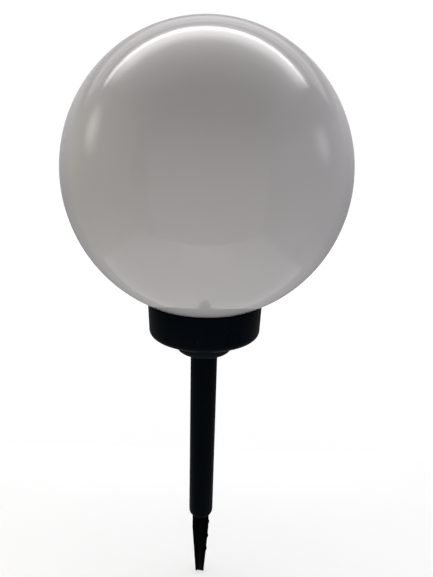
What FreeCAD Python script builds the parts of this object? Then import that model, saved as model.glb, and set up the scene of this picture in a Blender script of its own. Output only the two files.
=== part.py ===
import FreeCAD, Part
import math
import os

# Solar garden globe light: an opal ball on a low base, a stake tube and a spike.
# Millimetres, +Z up.  The origin is on the lamp's axis at the soil line, which is
# the lower end of the stake tube.

# ---- running and seating clearances -------------------------------------------------
slide_fit = 0.08            # radial, stake tube in its socket and spike in the tube
seat_gap = 0.25             # between a piece and the stop or seat that carries it
moving_gap = 0.40           # radial, round pieces that turn or slide past each other
inner_gap = 0.60            # between neighbours inside the base

# ---- globe --------------------------------------------------------------------------
globe_radius = 100.0
globe_wall = 1.8
neck_radius = 38.8          # outside of the neck that screws into the base
neck_wall = 1.8
neck_length = 9.5           # below the base's rim

# ---- three-start screw between the globe's neck and the base ------------------------
rib_starts = 3
rib_height = 1.8            # how far a rib stands out of its wall
rib_root = 1.9              # rib thickness along the axis, at the wall
rib_crest = 1.1             # the same, at its crest
rib_bite = 0.8              # how deep a rib's root is moulded into its wall
rib_lead = 18.0             # rise in one full turn
neck_rib_span = 58.0        # degrees round the neck
base_rib_span = 50.0        # degrees round the base

# ---- base housing -------------------------------------------------------------------
base_height = 26.5
base_wall = 2.15
base_draft = 0.8            # the cup is this much slimmer at its foot, in radius
base_foot_round = 4.75
base_floor = 2.2
base_lip_edge = 0.5
ledge_width = 1.4           # step inside the wall that carries the module plate
buttress_count = 12
buttress_width = 1.6
buttress_depth = 1.2

# ---- module plate -------------------------------------------------------------------
seal_thickness = 1.6
seal_width = 2.0
seal_edge = 0.5
flange_thickness = 2.0
gasket_thickness = 1.0
gasket_width = 1.8
crown_wall = 2.0            # wall and roof of the plate's raised middle
crown_rise = 8.8            # the raised middle above the flange
crown_edge = 1.6

# ---- solar panel --------------------------------------------------------------------
panel_size = 42.0
panel_board_thickness = 1.6
panel_corner = 2.0
pocket_wall = 1.5
pocket_depth = 2.2
cell_strips = 4
cell_gap = 0.8
cell_margin = 2.0
cell_thickness = 0.3
cover_thickness = 1.0
cover_edge = 0.4
panel_lead_radius = 0.5
panel_lead_spacing = 8.0

# ---- light-emitting diodes ----------------------------------------------------------
led_count = 4
led_radius = 2.5
led_flange = 0.45           # rim at the foot of the lens, in radius
led_flange_height = 1.0
led_height = 8.6
led_stand_out = 3.4         # above the plate's top
led_lead_radius = 0.3
led_lead_spacing = 2.54
grommet_wall = 1.0
grommet_lip = 0.6

# ---- circuit board ------------------------------------------------------------------
board_thickness = 1.2
lead_tail = 0.8             # leads and pegs stand this far out of the board
board_standoff = 3.1
board_gap = 1.75            # between the board's rim and the wall round it
board_screw_circle = 18.5
board_screw_angles = (15.0, 90.0, 165.0)
board_screw_radius = 1.0
board_screw_head = 1.9
board_screw_head_height = 1.4
board_screw_length = 5.0
board_boss_radius = 2.6

# ---- components on the board's underside --------------------------------------------
drum_radius = 3.4
drum_height = 6.8
drum_rim = 1.2
drum_place = (13.0, 21.5)
chip_length = 5.0
chip_width = 4.0
chip_height = 1.6
chip_place = (4.0, 11.0)
can_radius = 2.5
can_height = 5.5
can_place = (-20.0, 13.5)
resistor_length = 3.2
resistor_width = 1.6
resistor_height = 0.6
resistor_places = ((20.0, 10.0), (20.0, 13.0))

# ---- battery, one AAA cell ----------------------------------------------------------
cell_radius = 5.25
cell_length = 44.5
cell_offset = 13.0          # from the lamp's axis to the cell's
cell_nub_radius = 1.9
cell_nub_height = 1.1
cell_shoulder = 0.7
tray_wall = 1.2
tray_depth = 8.2            # how far the tray's sides come down from its back
tray_corner = 2.5
contact_thickness = 0.4
contact_width = 8.0
contact_tail_width = 1.4
spring_space = 3.0          # room for the spring beside the cell
spring_bow = 6.4            # height of the bowed leaf
spring_width = 4.0
tray_peg_radius = 1.0
tray_peg_places = (-12.0, 12.0)
tray_notch = 16.0           # length of the finger notch in each long side
tray_notch_rise = 1.0       # the notch stops this far under the cell's axis

# ---- push switch --------------------------------------------------------------------
switch_size = 6.0
switch_height = 7.0
switch_angle = 108.0
switch_leg = 0.35
switch_leg_spacing = 4.5
plunger_radius = 1.5
plunger_reach = 2.0         # part of the stem that runs inside the switch
button_radius = 3.2
button_edge = 0.5
button_stem = 2.2
button_flange = 1.0
button_flange_height = 1.0
button_stand_out = 1.0      # below the base's underside
button_travel = 1.2

# ---- stake socket -------------------------------------------------------------------
socket_drop = 14.3          # below the base's floor
socket_top_radius = 22.9
socket_low_radius = 22.0
socket_low_round = 5.9
socket_bore_depth = 15.0    # how far the stake tube goes in
socket_boss_wall = 1.6
socket_skin = 2.2
socket_web_count = 6
socket_web_width = 1.6

# ---- screws -------------------------------------------------------------------------
screw_flat = 0.62           # flat of a screw's head, as a share of the head's radius
screw_crown = 0.4           # bevelled part of the head, as a share of its height
recess_width = 0.7
recess_depth = 0.6
socket_screw_circle = 17.6
socket_screw_angles = (90.0, 210.0, 330.0)
socket_screw_radius = 1.4
socket_screw_head = 2.6
socket_screw_head_height = 1.8
socket_screw_length = 8.0
socket_screw_boss = 3.0
plate_screw_radius = 1.3
plate_screw_head = 2.7
plate_screw_head_height = 1.6
plate_screw_bite = 6.0      # length of thread in the plate's boss
pillar_radius = 2.8
pillar_joint = 9.0          # pillar height above the floor, where the plate's boss meets it
pillar_circle = 30.8
pillar_angles = (45.0, 135.0, 250.0, 290.0)

# ---- stake tube ---------------------------------------------------------------------
tube_exposed = 152.3        # from the soil line to the socket's underside
tube_top_radius = 10.45
tube_foot_radius = 10.0
tube_wall = 1.7
tube_foot_round = 4.25
tube_web = 1.8

# ---- ground spike -------------------------------------------------------------------
spike_radius = 7.0          # half the width across the ribs where they leave the tube
spike_plug = 22.0           # length held in the tube
spike_length = 63.0         # below the tube
spike_straight = 15.0       # part of that before the ribs begin to taper
spike_tip_radius = 3.6
spike_rib = 2.6
spike_tip_notch = 1.2
spike_tip_rise = 3.2        # the front and back ribs end this much above the tip
guide_disc = 2.0            # thickness of the two round discs on the plug
barb_height = 0.7
barb_length = 2.4
barb_drops = (9.0, 24.0, 38.0)

# ---- places worked out from the sizes above -----------------------------------------
socket_foot = tube_exposed
floor_under = socket_foot + socket_drop
floor_top = floor_under + base_floor
base_rim = floor_under + base_height
bore_radius = neck_radius + rib_height + moving_gap
base_rim_radius = bore_radius + base_wall
base_foot_radius = base_rim_radius - base_draft
globe_at_rim = bore_radius - seat_gap
globe_centre = base_rim + math.sqrt(globe_radius ** 2 - globe_at_rim ** 2)
neck_foot = base_rim - neck_length
neck_bore = neck_radius - neck_wall
globe_turn = 360.0 / rib_starts

seal_outer = neck_radius + 0.5 * (seal_width - neck_wall)
flange_top = neck_foot - seat_gap - seal_thickness
flange_under = flange_top - flange_thickness
gasket_under = flange_under - gasket_thickness
flange_radius = bore_radius - moving_gap
cavity_radius = bore_radius - ledge_width

crown_radius = neck_bore - inner_gap
crown_top = flange_top + crown_rise
crown_bore = crown_radius - crown_wall
roof_under = crown_top - crown_wall
pocket_size = panel_size + 2.0 * seat_gap
pocket_floor = crown_top - pocket_depth
pocket_under = pocket_floor - pocket_wall
pocket_block = pocket_size + 2.0 * pocket_wall

grommet_radius = led_radius + grommet_wall
led_circle = 0.5 * pocket_block + inner_gap + grommet_radius + grommet_lip
led_top = crown_top + led_stand_out
led_foot = led_top - led_height

board_top = pocket_under - board_standoff
board_under = board_top - board_thickness
board_radius = crown_bore - board_gap

tube_bore_top = socket_foot + socket_bore_depth
socket_bore_radius = tube_top_radius + slide_fit
socket_boss_radius = socket_bore_radius + socket_boss_wall
boss_hole_radius = socket_boss_radius + seat_gap

cell_y = -cell_offset
tray_inner_wall = cell_y + cell_radius + seat_gap + tray_wall
cell_z = board_under - tray_wall - seat_gap - cell_radius
tray_outer_wall = cell_y - cell_radius - seat_gap - tray_wall
tray_room = cell_length + spring_space + 2.0 * contact_thickness
tray_half_length = 0.5 * tray_room + tray_wall
cell_plus_x = 0.5 * tray_room - contact_thickness
cell_minus_x = cell_plus_x - cell_length
spring_foot_x = -0.5 * tray_room + contact_thickness

switch_circle = socket_top_radius + inner_gap + button_flange + button_radius
switch_under = board_under - switch_height
button_flange_under = floor_top + seat_gap
button_top = switch_under - button_travel - 2.0 * seat_gap

pillar_top = floor_top + pillar_joint
spike_bore_radius = spike_radius + slide_fit
tube_bore_radius = tube_foot_radius - tube_wall


# ---- geometry helpers ---------------------------------------------------------------
def vec(x, y, z):
    return FreeCAD.Vector(x, y, z)


def polar(radius, degrees):
    """Point in the plane, as (x, y), at an angle round the lamp's axis."""
    angle = math.radians(degrees)
    return radius * math.cos(angle), radius * math.sin(angle)


def on_arc(centre_r, centre_z, radius, degrees):
    """Point (r, z) of an arc in the half-plane that is turned about the axis."""
    dr, dz = polar(radius, degrees)
    return centre_r + dr, centre_z + dz


def turned(start, *steps):
    """Solid of revolution.  A step is a point (r, z), or (middle, end) for an arc."""
    edges = []
    here = start
    for step in list(steps) + [start]:
        is_arc = isinstance(step[0], tuple)
        end = step[1] if is_arc else step
        a = vec(here[0], 0, here[1])
        b = vec(end[0], 0, end[1])
        if is_arc:
            middle = vec(step[0][0], 0, step[0][1])
            edges.append(Part.Arc(a, middle, b).toShape())
        elif a.distanceToPoint(b) > 1e-6:
            edges.append(Part.makeLine(a, b))
        here = end
    face = Part.Face(Part.Wire(edges))
    return face.revolve(vec(0, 0, 0), vec(0, 0, 1), 360)


def rod(radius, z_low, z_high, x=0.0, y=0.0):
    return Part.makeCylinder(radius, z_high - z_low, vec(x, y, z_low))


def ring(outer, inner, z_low, z_high, x=0.0, y=0.0):
    return rod(outer, z_low, z_high, x, y).cut(rod(inner, z_low - 1, z_high + 1, x, y))


def block(x_low, x_high, y_low, y_high, z_low, z_high):
    return Part.makeBox(x_high - x_low, y_high - y_low, z_high - z_low, vec(x_low, y_low, z_low))


def square_block(side, corner, z_low, z_high):
    """Square plate centred on the axis, with rounded upright corners."""
    half = 0.5 * side
    plate = block(-half, half, -half, half, z_low, z_high)
    uprights = [e for e in plate.Edges if abs(e.Length - (z_high - z_low)) < 1e-6
                and abs(e.tangentAt(e.FirstParameter).z) > 0.99]
    return plate.makeFillet(corner, uprights)


def copies(shape, count):
    """The shape and its copies, evenly spaced round the axis."""
    return [spun(shape, 360.0 * k / count) for k in range(count)]


def spun(shape, degrees):
    copy = shape.copy()
    copy.rotate(vec(0, 0, 0), vec(0, 0, 1), degrees)
    return copy


def screw_rib(root_radius, crest_radius, span, z_start, start_angle):
    """One rib of the coarse screw, swept along a right-handed helix from its first angle."""
    out = 1.0 if crest_radius > root_radius else -1.0
    flare = 0.5 * (rib_root - rib_crest) * rib_bite / rib_height
    half_root = 0.5 * rib_root + flare
    half_crest = 0.5 * rib_crest
    deep = root_radius - out * rib_bite
    corners = [vec(deep, 0, -half_root), vec(crest_radius, 0, -half_crest),
               vec(crest_radius, 0, half_crest), vec(deep, 0, half_root)]
    section = Part.makePolygon(corners + corners[:1])
    spine = Part.Wire(Part.makeHelix(rib_lead, rib_lead * span / 360.0, root_radius))
    rib = spine.makePipeShell([section], True, True)
    rib.translate(vec(0, 0, z_start))
    return spun(rib, start_angle)


def pan_screw(x, y, seat, head_radius, head_height, shank_radius, length, up):
    """Cross-headed screw.  The head bears on seat, and the shank runs up from it, or down."""
    rim = (1.0 - screw_crown) * head_height
    screw = turned((0.0, -head_height), (screw_flat * head_radius, -head_height), (head_radius, -rim),
                   (head_radius, 0.0), (shank_radius, 0.0), (shank_radius, length - shank_radius),
                   (0.0, length))
    half = 0.5 * recess_width
    slot = block(-screw_flat * head_radius, screw_flat * head_radius, -half, half,
                 -head_height - recess_depth, -head_height + recess_depth)
    screw = screw.cut([slot, spun(slot, 90)])
    if not up:
        screw.rotate(vec(0, 0, 0), vec(1, 0, 0), 180)
    screw.translate(vec(x, y, seat))
    return screw


# ---- globe --------------------------------------------------------------------------
def globe():
    """Opal ball, one wall all round, with a straight neck and its three screw ribs."""
    inner = globe_radius - globe_wall
    join_out = globe_centre - math.sqrt(globe_radius ** 2 - neck_radius ** 2)
    join_in = globe_centre - math.sqrt(inner ** 2 - neck_bore ** 2)
    shell = turned(
        (neck_bore, neck_foot),
        (neck_radius, neck_foot),
        (neck_radius, join_out),
        (on_arc(0, globe_centre, globe_radius, 0), (0.0, globe_centre + globe_radius)),
        (0.0, globe_centre + inner),
        (on_arc(0, globe_centre, inner, 0), (neck_bore, join_in)),
    )
    rib_foot = neck_foot + 0.5 * rib_root + seat_gap
    rib = screw_rib(neck_radius, neck_radius + rib_height, neck_rib_span, rib_foot, 0.0)
    return shell.fuse(copies(rib, rib_starts))


def globe_seal():
    """Rubber ring under the neck, bevelled where the neck presses on it."""
    inner = seal_outer - seal_width
    top = flange_top + seal_thickness
    shoulder = top - seal_edge
    return turned((inner, flange_top), (seal_outer, flange_top), (seal_outer, shoulder),
                  (seal_outer - seal_edge, top), (inner + seal_edge, top), (inner, shoulder))


# ---- base housing -------------------------------------------------------------------
def base_cup():
    """The cup's wall, rounded foot, floor and the ledge for the module plate."""
    foot_start = base_foot_radius - base_foot_round
    foot_top = floor_under + base_foot_round
    inner_round = base_foot_round - base_floor
    inner_start = cavity_radius - inner_round
    lip = base_lip_edge
    return turned(
        (0.0, floor_under),
        (foot_start, floor_under),
        (on_arc(foot_start, foot_top, base_foot_round, -45), (base_foot_radius, foot_top)),
        (base_rim_radius, base_rim - lip),
        (base_rim_radius - lip, base_rim),
        (bore_radius + lip, base_rim),
        (bore_radius, base_rim - lip),
        (bore_radius, gasket_under),
        (cavity_radius, gasket_under),
        (cavity_radius, floor_top + inner_round),
        (on_arc(inner_start, floor_top + inner_round, inner_round, -45), (inner_start, floor_top)),
        (0.0, floor_top),
    )


def pillar_places():
    """The four screw pillars: two beside the switch, and two beside the battery."""
    return [polar(pillar_circle, a) for a in pillar_angles]


def base_housing():
    cup = base_cup()
    buttress = block(cavity_radius - buttress_depth, cavity_radius + 0.5 * base_wall,
                     -0.5 * buttress_width, 0.5 * buttress_width,
                     floor_top + base_foot_round, gasket_under)
    rib_foot = neck_foot + 0.5 * rib_root + seat_gap
    mate = rib_foot + rib_root + seat_gap
    rib = screw_rib(bore_radius, bore_radius - rib_height, base_rib_span, mate, 0.0)
    pillars = [rod(pillar_radius, floor_top - 0.5, pillar_top, x, y) for x, y in pillar_places()]
    cup = cup.fuse(copies(buttress, buttress_count) + copies(rib, rib_starts) + pillars)
    holes = [rod(boss_hole_radius, floor_under - 1, floor_top + 1)]
    for x, y in pillar_places():
        holes.append(rod(plate_screw_radius + slide_fit, floor_under - 1, pillar_top + 1, x, y))
        sunk = floor_under + plate_screw_head_height + seat_gap
        holes.append(rod(plate_screw_head + seat_gap, floor_under - 1, sunk, x, y))
    for angle in socket_screw_angles:
        x, y = polar(socket_screw_circle, angle)
        holes.append(rod(socket_screw_radius + slide_fit, floor_under - 1, floor_top + 1, x, y))
    x, y = polar(switch_circle, switch_angle)
    holes.append(rod(button_radius + moving_gap, floor_under - 1, floor_top + 1, x, y))
    return cup.cut(holes)


def plate_screws():
    seat = floor_under + plate_screw_head_height
    length = pillar_top - seat + plate_screw_bite
    return [pan_screw(x, y, seat, plate_screw_head, plate_screw_head_height,
                      plate_screw_radius, length, True) for x, y in pillar_places()]


# ---- module plate -------------------------------------------------------------------
def led_places():
    return [polar(led_circle, 360.0 * k / led_count) for k in range(led_count)]


def led_lead_places():
    """Two leads a diode, set across the radius."""
    places = []
    for x, y in led_places():
        for side in (-0.5 * led_lead_spacing, 0.5 * led_lead_spacing):
            places.append((x - side * y / led_circle, y + side * x / led_circle))
    return places


def board_screw_places():
    return [polar(board_screw_circle, a) for a in board_screw_angles]


def module_plate():
    """Flange, raised middle with the panel's pocket, and the bosses on its underside."""
    edge = crown_edge
    shell = turned(
        (crown_bore, flange_under),
        (flange_radius, flange_under),
        (flange_radius, flange_top),
        (crown_radius, flange_top),
        (crown_radius, crown_top - edge),
        (crown_radius - edge, crown_top),
        (0.0, crown_top),
        (0.0, roof_under),
        (crown_bore, roof_under),
    )
    adds = [square_block(pocket_block, panel_corner, pocket_under, crown_top - 0.1)]
    for x, y in pillar_places():
        adds.append(rod(pillar_radius, pillar_top, roof_under + 0.5, x, y))
    for x, y in board_screw_places():
        adds.append(rod(board_boss_radius, board_top, pocket_under + 0.5, x, y))
    plate = shell.fuse(adds)
    cuts = [square_block(pocket_size, panel_corner, pocket_floor, crown_top + 1)]
    for x, y in pillar_places():
        top = pillar_top + plate_screw_bite + seat_gap
        cuts.append(rod(plate_screw_radius, pillar_top - 1, top, x, y))
    for x, y in board_screw_places():
        cuts.append(rod(board_screw_radius, board_top - 1, board_top + board_screw_length, x, y))
    for x, y in led_places():
        cuts.append(rod(grommet_radius, roof_under - 1, crown_top + 1, x, y))
    for side in (-0.5, 0.5):
        cuts.append(rod(panel_lead_radius + seat_gap, pocket_under - 1, pocket_floor + 1,
                        side * panel_lead_spacing, 0.0))
    return plate.cut(cuts)


def plate_gasket():
    return ring(flange_radius, flange_radius - gasket_width, gasket_under, flange_under)


# ---- solar panel --------------------------------------------------------------------
def panel_board():
    return square_block(panel_size, panel_corner, pocket_floor, pocket_floor + panel_board_thickness)


def solar_cells():
    """Equal strips of silicon, side by side."""
    low = pocket_floor + panel_board_thickness
    usable = panel_size - 2.0 * cell_margin
    width = (usable - (cell_strips - 1) * cell_gap) / cell_strips
    strips = []
    for k in range(cell_strips):
        x = -0.5 * usable + k * (width + cell_gap)
        strips.append(block(x, x + width, -0.5 * usable, 0.5 * usable, low, low + cell_thickness))
    return strips


def panel_cover():
    """Clear resin poured over the cells, with a bevelled upper edge."""
    low = pocket_floor + panel_board_thickness
    slab = square_block(panel_size, panel_corner, low, low + cell_thickness + cover_thickness)
    top = [e for e in slab.Edges if e.BoundBox.ZMin > slab.BoundBox.ZMax - 1e-3]
    return slab.makeChamfer(cover_edge, top).cut(solar_cells())


def panel_leads():
    return [rod(panel_lead_radius, board_under - lead_tail, pocket_floor, side * panel_lead_spacing, 0.0)
            for side in (-0.5, 0.5)]


# ---- light-emitting diodes ----------------------------------------------------------
def leds():
    """Round lens with a foot rim, and two leads that go through the board."""
    straight = led_top - led_radius
    lens = turned((0.0, led_foot), (led_radius + led_flange, led_foot),
                  (led_radius + led_flange, led_foot + led_flange_height),
                  (led_radius, led_foot + led_flange_height), (led_radius, straight),
                  (on_arc(0, straight, led_radius, 45), (0.0, led_top)))
    legs = [rod(led_lead_radius, board_under - lead_tail, led_foot + 0.2, 0.0, side * led_lead_spacing)
            for side in (-0.5, 0.5)]
    diode = lens.fuse(legs)
    diode.translate(vec(led_circle, 0, 0))
    return copies(diode, led_count)


def led_grommets():
    """Rubber collars with a lip over the plate."""
    group = []
    for x, y in led_places():
        body = ring(grommet_radius, led_radius, roof_under, crown_top, x, y)
        lip = ring(grommet_radius + grommet_lip, led_radius, crown_top, crown_top + grommet_lip, x, y)
        group.append(body.fuse(lip))
    return group


# ---- circuit board ------------------------------------------------------------------
def circuit_board():
    """Round board, notched round the screw bosses, with a hole for each lead and peg."""
    low = board_under - 1
    high = board_top + 1
    cuts = [rod(pillar_radius + inner_gap, low, high, x, y) for x, y in pillar_places()]
    for x, y in board_screw_places():
        cuts.append(rod(board_screw_radius + slide_fit, low, high, x, y))
    for x, y in led_lead_places():
        cuts.append(rod(led_lead_radius + slide_fit, low, high, x, y))
    for x in (-0.5 * panel_lead_spacing, 0.5 * panel_lead_spacing):
        cuts.append(rod(panel_lead_radius + slide_fit, low, high, x, 0.0))
    for x in tray_peg_places:
        cuts.append(rod(tray_peg_radius + slide_fit, low, high, x, cell_y))
    for x in blade_places():
        cuts.append(tail_slot(x, low, high))
    for x, y in switch_leg_places():
        cuts.append(at_switch(rod(switch_leg + slide_fit, low, high, x, y)))
    return rod(board_radius, board_under, board_top).cut(cuts)


def board_components():
    """Drum inductor, driver chip, capacitor and two resistors on the underside."""
    low = board_under
    waist = drum_radius - drum_rim
    drum = turned((0.0, low), (drum_radius, low), (drum_radius, low - drum_rim), (waist, low - drum_rim),
                  (waist, low - drum_height + drum_rim), (drum_radius, low - drum_height + drum_rim),
                  (drum_radius, low - drum_height), (0.0, low - drum_height))
    drum.translate(vec(drum_place[0], drum_place[1], 0))
    chip = block(chip_place[0], chip_place[0] + chip_length, chip_place[1], chip_place[1] + chip_width,
                 low - chip_height, low)
    can = rod(can_radius, low - can_height, low, can_place[0], can_place[1])
    resistors = [block(x, x + resistor_length, y, y + resistor_width, low - resistor_height, low)
                 for x, y in resistor_places]
    return [drum, chip, can] + resistors


def board_screws():
    return [pan_screw(x, y, board_under, board_screw_head, board_screw_head_height,
                      board_screw_radius, board_screw_length, True)
            for x, y in board_screw_places()]


# ---- battery ------------------------------------------------------------------------
def lengthwise(shape):
    """Lay a piece made along +Z down along +X, on the battery's axis."""
    shape.rotate(vec(0, 0, 0), vec(0, 1, 0), 90)
    shape.translate(vec(0, cell_y, cell_z))
    return shape


def battery():
    edge = cell_shoulder
    start = cell_minus_x
    shoulder = cell_plus_x - cell_nub_height
    return lengthwise(turned(
        (0.0, start), (cell_radius - edge, start), (cell_radius, start + edge),
        (cell_radius, shoulder - edge), (cell_radius - edge, shoulder),
        (cell_nub_radius, shoulder), (cell_nub_radius, cell_plus_x), (0.0, cell_plus_x),
    ))


def battery_tray():
    """Open box, back to the board, with a rounded trough and two staked pegs."""
    low = board_under - tray_depth
    box = block(-tray_half_length, tray_half_length, tray_outer_wall, tray_inner_wall, low, board_under)
    uprights = [e for e in box.Edges if abs(e.tangentAt(e.FirstParameter).z) > 0.99]
    box = box.makeFillet(tray_corner, uprights)
    trough = Part.makeCylinder(cell_radius + seat_gap, tray_room,
                               vec(-0.5 * tray_room, cell_y, cell_z), vec(1, 0, 0))
    mouth = block(-0.5 * tray_room, 0.5 * tray_room, cell_y - cell_radius - seat_gap,
                  cell_y + cell_radius + seat_gap, low - 1, cell_z)
    pegs = [rod(tray_peg_radius, board_under - 0.4, board_top + lead_tail, x, cell_y)
            for x in tray_peg_places]
    notch = block(-0.5 * tray_notch, 0.5 * tray_notch, tray_outer_wall - 1, tray_inner_wall + 1,
                  low - 1, cell_z - tray_notch_rise)
    slots = [tail_slot(x, cell_z, board_under + 1) for x in blade_places()]
    return box.cut([trough, mouth, notch] + slots).fuse(pegs)


def blade_places():
    """Lower x of the two contact blades, one at each end of the tray."""
    return [0.5 * tray_room - contact_thickness, -0.5 * tray_room]


def tail_slot(x_low, z_low, z_high):
    """Slot for a contact's tail, a sliding fit all round."""
    half = 0.5 * contact_tail_width + slide_fit
    return block(x_low - slide_fit, x_low + contact_thickness + slide_fit,
                 cell_y - half, cell_y + half, z_low, z_high)


def contact_blade(x_low):
    """Flat contact across the tray's end, with a tail that goes through the board."""
    half = 0.5 * contact_width
    low = cell_z - 0.5 * contact_width
    plate = block(x_low, x_low + contact_thickness, cell_y - half, cell_y + half, low, cell_z + 3.0)
    tail = block(x_low, x_low + contact_thickness, cell_y - 0.5 * contact_tail_width,
                 cell_y + 0.5 * contact_tail_width, cell_z + 2.0, board_top + lead_tail)
    return plate.fuse(tail)


def battery_contact():
    return contact_blade(blade_places()[0])


def battery_spring():
    """Blade with a bowed leaf that presses on the cell."""
    root = spring_foot_x - 0.5 * contact_thickness
    reach = spring_space + 0.5 * contact_thickness - slide_fit
    half = 0.5 * spring_bow
    inner = half - 2.0 * contact_thickness
    outer_arc = Part.Arc(vec(root, 0, -half), vec(root + reach, 0, 0), vec(root, 0, half))
    bow = root + reach - contact_thickness
    inner_arc = Part.Arc(vec(root, 0, inner), vec(bow, 0, 0), vec(root, 0, -inner))
    edges = [outer_arc.toShape(), Part.makeLine(vec(root, 0, half), vec(root, 0, inner)),
             inner_arc.toShape(), Part.makeLine(vec(root, 0, -inner), vec(root, 0, -half))]
    leaf = Part.Face(Part.Wire(edges)).extrude(vec(0, spring_width, 0))
    leaf.translate(vec(0, cell_y - 0.5 * spring_width, cell_z))
    return contact_blade(blade_places()[1]).fuse(leaf)


# ---- push switch --------------------------------------------------------------------
def switch_leg_places():
    step = 0.5 * switch_leg_spacing
    return [(x, y) for x in (-step, step) for y in (-step, step)]


def at_switch(shape):
    """Move a piece of the switch out to its place, square to the radius."""
    shape.translate(vec(switch_circle, 0, 0))
    return spun(shape, switch_angle)


def switch_body():
    half = 0.5 * switch_size
    case = block(-half, half, -half, half, switch_under, board_under)
    well = rod(plunger_radius + slide_fit, switch_under - 1,
               switch_under + plunger_reach + button_travel + seat_gap)
    legs = [rod(switch_leg, board_under - 0.1, board_top + lead_tail, x, y)
            for x, y in switch_leg_places()]
    return at_switch(case.cut(well).fuse(legs))


def switch_plunger():
    return at_switch(rod(plunger_radius, button_top, switch_under + plunger_reach))


def switch_button():
    """Button with a bevelled face below the base and a flange that keeps it in."""
    face = floor_under - button_stand_out
    flange_radius_out = button_radius + button_flange
    flange_high = button_flange_under + button_flange_height
    return at_switch(turned(
        (0.0, face), (button_radius - button_edge, face), (button_radius, face + button_edge),
        (button_radius, button_flange_under), (flange_radius_out, button_flange_under),
        (flange_radius_out, flange_high), (button_stem, flange_high),
        (button_stem, button_top), (0.0, button_top),
    ))


# ---- stake socket -------------------------------------------------------------------
def stake_socket():
    """Bowl-shaped boss under the base, with the blind bore for the stake tube."""
    foot = socket_foot
    soft = socket_low_round
    inner_top = socket_top_radius - socket_skin
    inner_low = socket_low_radius - socket_skin
    web_floor = foot + socket_skin
    crown = tube_bore_top + seat_gap
    bowl = turned(
        (socket_bore_radius, foot + 0.6),
        (socket_bore_radius + 0.6, foot),
        (socket_low_radius - soft, foot),
        (on_arc(socket_low_radius - soft, foot + soft, soft, -45), (socket_low_radius, foot + soft)),
        (socket_top_radius, floor_under),
        (inner_top, floor_under),
        (inner_low, foot + soft),
        (inner_low - 0.5 * soft, web_floor),
        (socket_boss_radius, web_floor),
        (socket_boss_radius, crown + socket_boss_wall),
        (0.0, crown + socket_boss_wall),
        (0.0, crown),
        (socket_bore_radius, crown),
    )
    web = block(socket_boss_radius - 0.3, inner_low - 0.5, -0.5 * socket_web_width,
                0.5 * socket_web_width, web_floor - 0.3, floor_under - inner_gap)
    adds = [spun(w, 30.0) for w in copies(web, socket_web_count)]
    cuts = []
    for angle in socket_screw_angles:
        x, y = polar(socket_screw_circle, angle)
        adds.append(rod(socket_screw_boss, web_floor - 0.3, floor_under, x, y))
        low = floor_top - socket_screw_length - seat_gap
        cuts.append(rod(socket_screw_radius, low, floor_under + 1, x, y))
    return bowl.fuse(adds).cut(cuts)


def socket_screws():
    return [pan_screw(*polar(socket_screw_circle, a), floor_top, socket_screw_head,
                      socket_screw_head_height, socket_screw_radius, socket_screw_length, False)
            for a in socket_screw_angles]


# ---- stake tube ---------------------------------------------------------------------
def stake_tube():
    """Moulded tube: slim taper outside, rounded foot, and a web over the spike's plug."""
    soft = tube_foot_round
    foot_centre = tube_foot_radius - soft
    dip = math.sqrt(soft ** 2 - (spike_bore_radius - foot_centre) ** 2)
    foot = soft - dip
    side = math.degrees(math.acos((spike_bore_radius - foot_centre) / soft))
    seat = spike_plug + seat_gap
    bore_top = tube_top_radius - tube_wall
    return turned(
        (spike_bore_radius, foot),
        (on_arc(foot_centre, soft, soft, -0.5 * side), (tube_foot_radius, soft)),
        (tube_top_radius, socket_foot),
        (tube_top_radius, tube_bore_top - 0.8),
        (tube_top_radius - 0.8, tube_bore_top),
        (bore_top, tube_bore_top),
        (tube_bore_radius, seat + tube_web),
        (0.4 * tube_bore_radius, seat + tube_web),
        (0.4 * tube_bore_radius, seat),
        (spike_bore_radius, seat),
    )


# ---- ground spike -------------------------------------------------------------------
def spike_rib_plate(barbed):
    """One of the two crossed ribs, cut from a flat plate.  Its outline tapers to the tip."""
    tip = -spike_length if barbed else spike_tip_rise - spike_length
    knee = -spike_straight
    slope = (spike_radius - spike_tip_radius) / (spike_length - spike_straight)
    left = [vec(-spike_tip_radius, 0, tip), vec(-spike_radius, 0, knee), vec(-spike_radius, 0, spike_plug)]
    right = [vec(spike_radius, 0, spike_plug)]
    for drop in barb_drops if barbed else ():
        edge_high = spike_radius - max(0.0, drop - spike_straight) * slope
        edge_low = spike_radius - max(0.0, drop + barb_length - spike_straight) * slope
        right.append(vec(edge_high, 0, -drop))
        right.append(vec(edge_high + barb_height, 0, -drop - 0.25 * barb_length))
        right.append(vec(edge_low, 0, -drop - barb_length))
    if not barbed:
        right.append(vec(spike_radius, 0, knee))
    else:
        right = with_knee(right, vec(spike_radius, 0, knee))
    right.append(vec(spike_tip_radius, 0, tip))
    edges = [Part.makePolygon(left + right)]
    notch = Part.Arc(right[-1], vec(0, 0, tip + spike_tip_notch), left[0]).toShape()
    outline = Part.Wire(edges[0].Edges + [notch])
    plate = Part.Face(outline).extrude(vec(0, spike_rib, 0))
    plate.translate(vec(0, -0.5 * spike_rib, 0))
    return plate


def with_knee(points, knee):
    """The edge's points with the knee put in, in order from the top down."""
    return sorted(points + [knee], key=lambda p: -p.z)


def ground_spike():
    ribs = spike_rib_plate(True).fuse(spun(spike_rib_plate(False), 90))
    top_disc = rod(spike_radius, spike_plug - guide_disc, spike_plug)
    low_disc = rod(spike_radius, 1.0, 1.0 + guide_disc)
    limit = rod(spike_radius + barb_height, -spike_length - 1, 0.0)
    sleeve = rod(spike_radius, -0.1, spike_plug + 1)
    return ribs.common(limit.fuse(sleeve)).fuse([top_disc, low_disc])


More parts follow.
